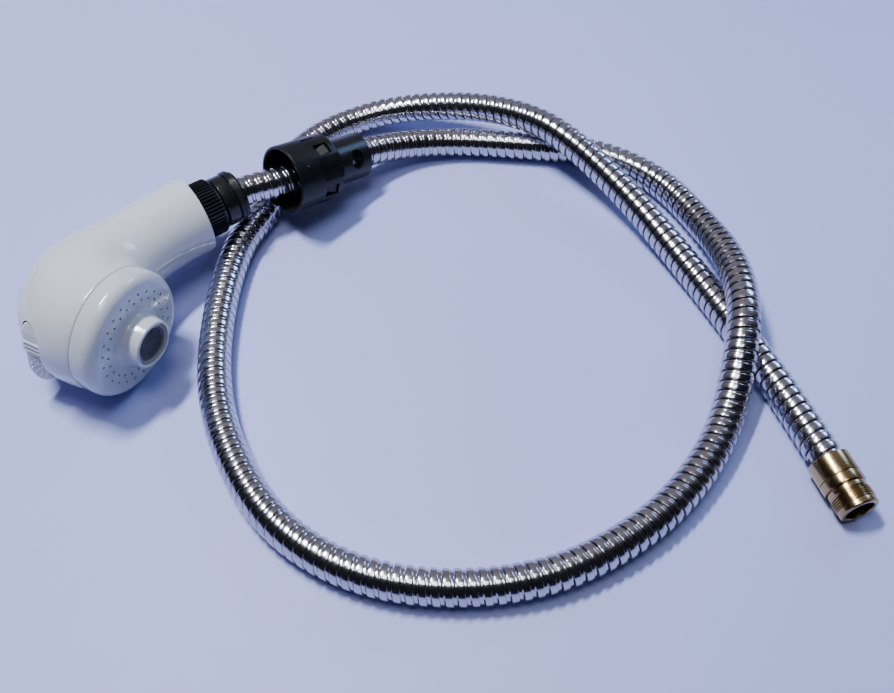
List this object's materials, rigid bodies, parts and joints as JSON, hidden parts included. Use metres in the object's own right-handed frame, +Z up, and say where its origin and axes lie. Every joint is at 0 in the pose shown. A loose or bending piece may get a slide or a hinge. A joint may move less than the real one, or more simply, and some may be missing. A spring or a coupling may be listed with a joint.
{
  "type": "pull-out shower head with hose",
  "caption": "Angled pull-out spray head with a rocker selector, on a spiral metal hose with a black hose guide and a threaded brass end.",
  "frame": {"origin": "on the floor under the middle of the head's bounding box (head pieces only, without the hose and what is on it)", "axes": "+X along the handle towards the hose, +Z up from the floor; the head lies on its side, its spray face towards -Y"},
  "size_m": [0.3291, 0.3491, 0.0603],
  "materials": {
    "white_gloss": "gloss, smooth moulded",
    "grey_inner": "satin moulded",
    "black_gloss": "semi-gloss moulded",
    "black_satin": "satin moulded",
    "rubber_black": "smooth",
    "chrome_strip": "polished, spiral wound",
    "brass_turned": "turned, bright",
    "steel_small": "plain"
  },
  "bodies": {
    "head_and_hose": {"head_shell": "white_gloss", "face_cap": "white_gloss", "inlet_pipe": "white_gloss", "handle_plug": "white_gloss", "flow_insert": "white_gloss", "spray_core": "grey_inner", "aerator_housing": "grey_inner", "valve_body": "grey_inner", "stream_tube": "grey_inner", "spray_tube": "grey_inner", "valve_plug_top": "grey_inner", "valve_plug_bottom": "grey_inner", "cap_seal": "rubber_black", "aerator_washer": "rubber_black", "inlet_washer": "rubber_black", "collar_ring": "rubber_black", "aerator_screen": "steel_small", "core_screw_a": "steel_small", "core_screw_b": "steel_small", "core_screw_c": "steel_small", "rocker_pin": "steel_small", "inlet_strainer": "steel_small", "swivel_collar": "black_gloss", "hose": "chrome_strip", "brass_ferrule": "brass_turned"},
    "rocker": {"selector_rocker": "white_gloss"},
    "spool": {"diverter_spool": "white_gloss", "spool_seal_top": "rubber_black", "spool_seal_bottom": "rubber_black"},
    "nut": {"union_nut": "black_gloss"},
    "guide": {"guide_sleeve": "black_satin", "guide_neck": "black_satin"},
    "nipple": {"brass_nipple": "brass_turned", "swivel_seal": "rubber_black"}
  },
  "joints": [
    {"name": "rocker_tilt", "type": "hinge", "parent": "head_and_hose", "child": "rocker", "pos_m": [-0.04997, -0.00682, 0.02864], "axis": [0.4287, -0.9033, -0.015], "range_deg": [0, 28]},
    {"name": "spool_shift", "type": "slide", "parent": "head_and_hose", "child": "spool", "axis": [0.0349, 0, 0.9994], "range_m": [0, 0.00435]},
    {"name": "nut_turn", "type": "hinge", "parent": "head_and_hose", "child": "nut", "pos_m": [0.03984, 0.02362, 0.02791], "axis": [0.9994, 0, -0.0349], "continuous": true},
    {"name": "guide_slide", "type": "slide", "parent": "head_and_hose", "child": "guide", "axis": [0.9683, 0.061, -0.2421], "range_m": [0, 0.005]},
    {"name": "nipple_turn", "type": "hinge", "parent": "head_and_hose", "child": "nipple", "pos_m": [0.18554, -0.26098, 0.0094], "axis": [-0.3551, -0.9348, 0], "continuous": true}
  ],
  "couplings": [
    {"joint": "rocker_tilt", "follows": "spool_shift", "rad_per_m": 112.2}
  ]
}
